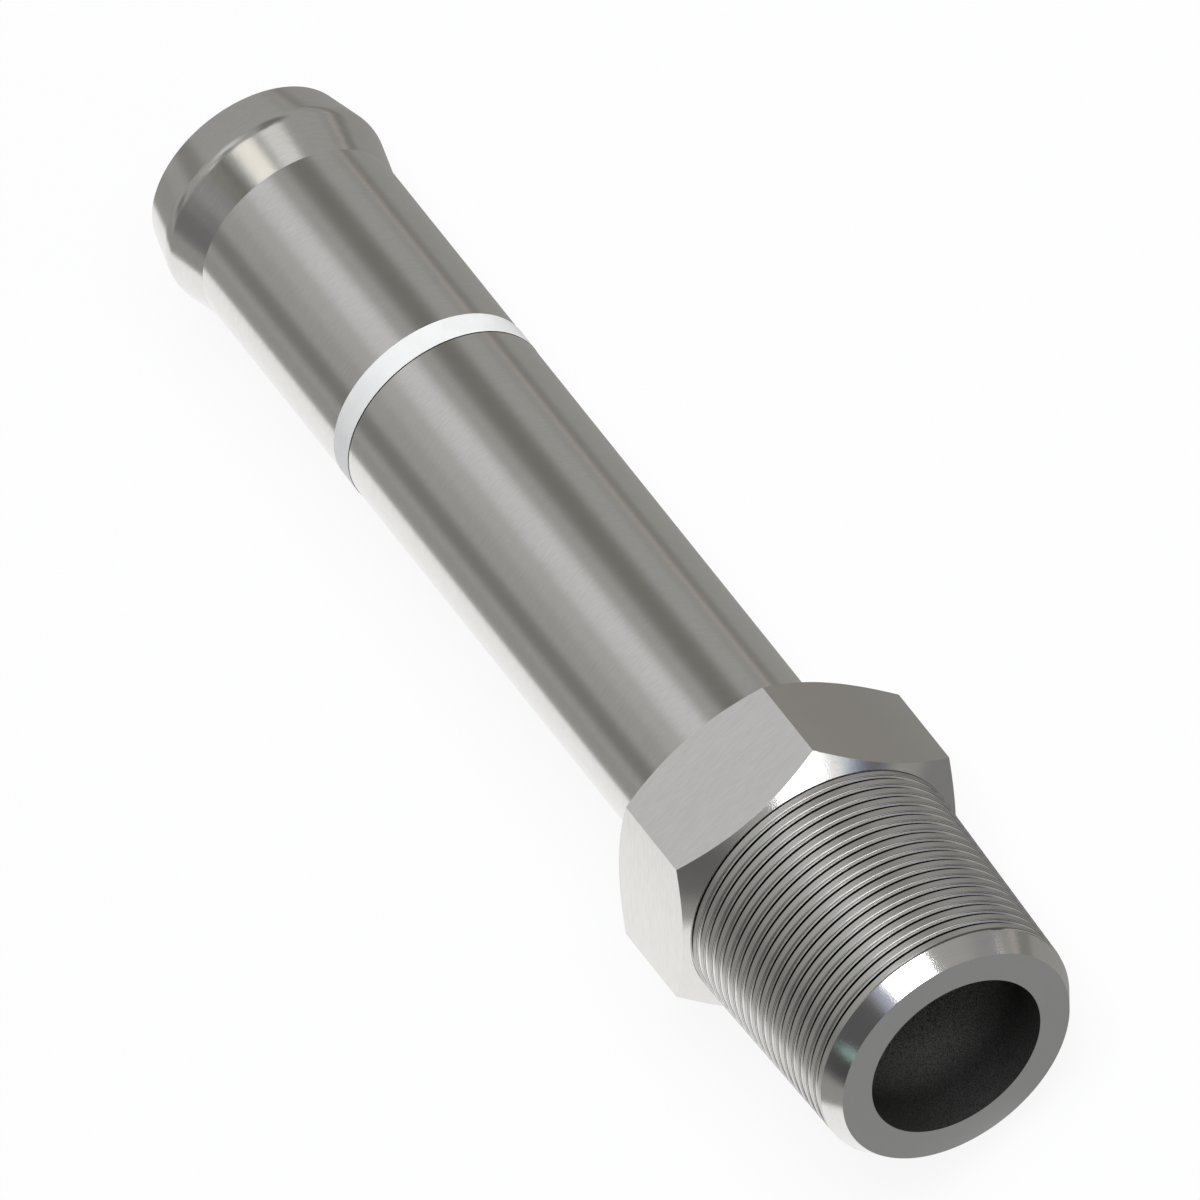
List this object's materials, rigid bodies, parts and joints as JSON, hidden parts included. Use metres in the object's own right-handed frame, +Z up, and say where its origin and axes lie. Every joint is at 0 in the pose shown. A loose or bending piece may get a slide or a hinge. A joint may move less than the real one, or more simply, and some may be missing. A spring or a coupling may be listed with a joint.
{
  "type": "hose fitting",
  "caption": "Stainless-steel hose fitting: tapered male pipe thread, wrench hexagon and long beaded hose stem with a white insertion-depth ring.",
  "frame": {"origin": "centre of the bore's mouth in the thread's end face, on the turning axis", "axes": "the fitting lies as it rests on one hexagon flat and the bead: +Z up, +X out of the thread end, with the turning axis rising 1.92 degrees towards the thread end"},
  "size_m": [0.1005, 0.0256, 0.0224],
  "materials": {
    "turned_steel": "satin turned finish, with fine tool marks round the axis",
    "white_ring": "smooth satin white"
  },
  "bodies": {
    "root": {"fitting_body": "turned_steel", "depth_ring": "white_ring"}
  },
  "joints": []
}
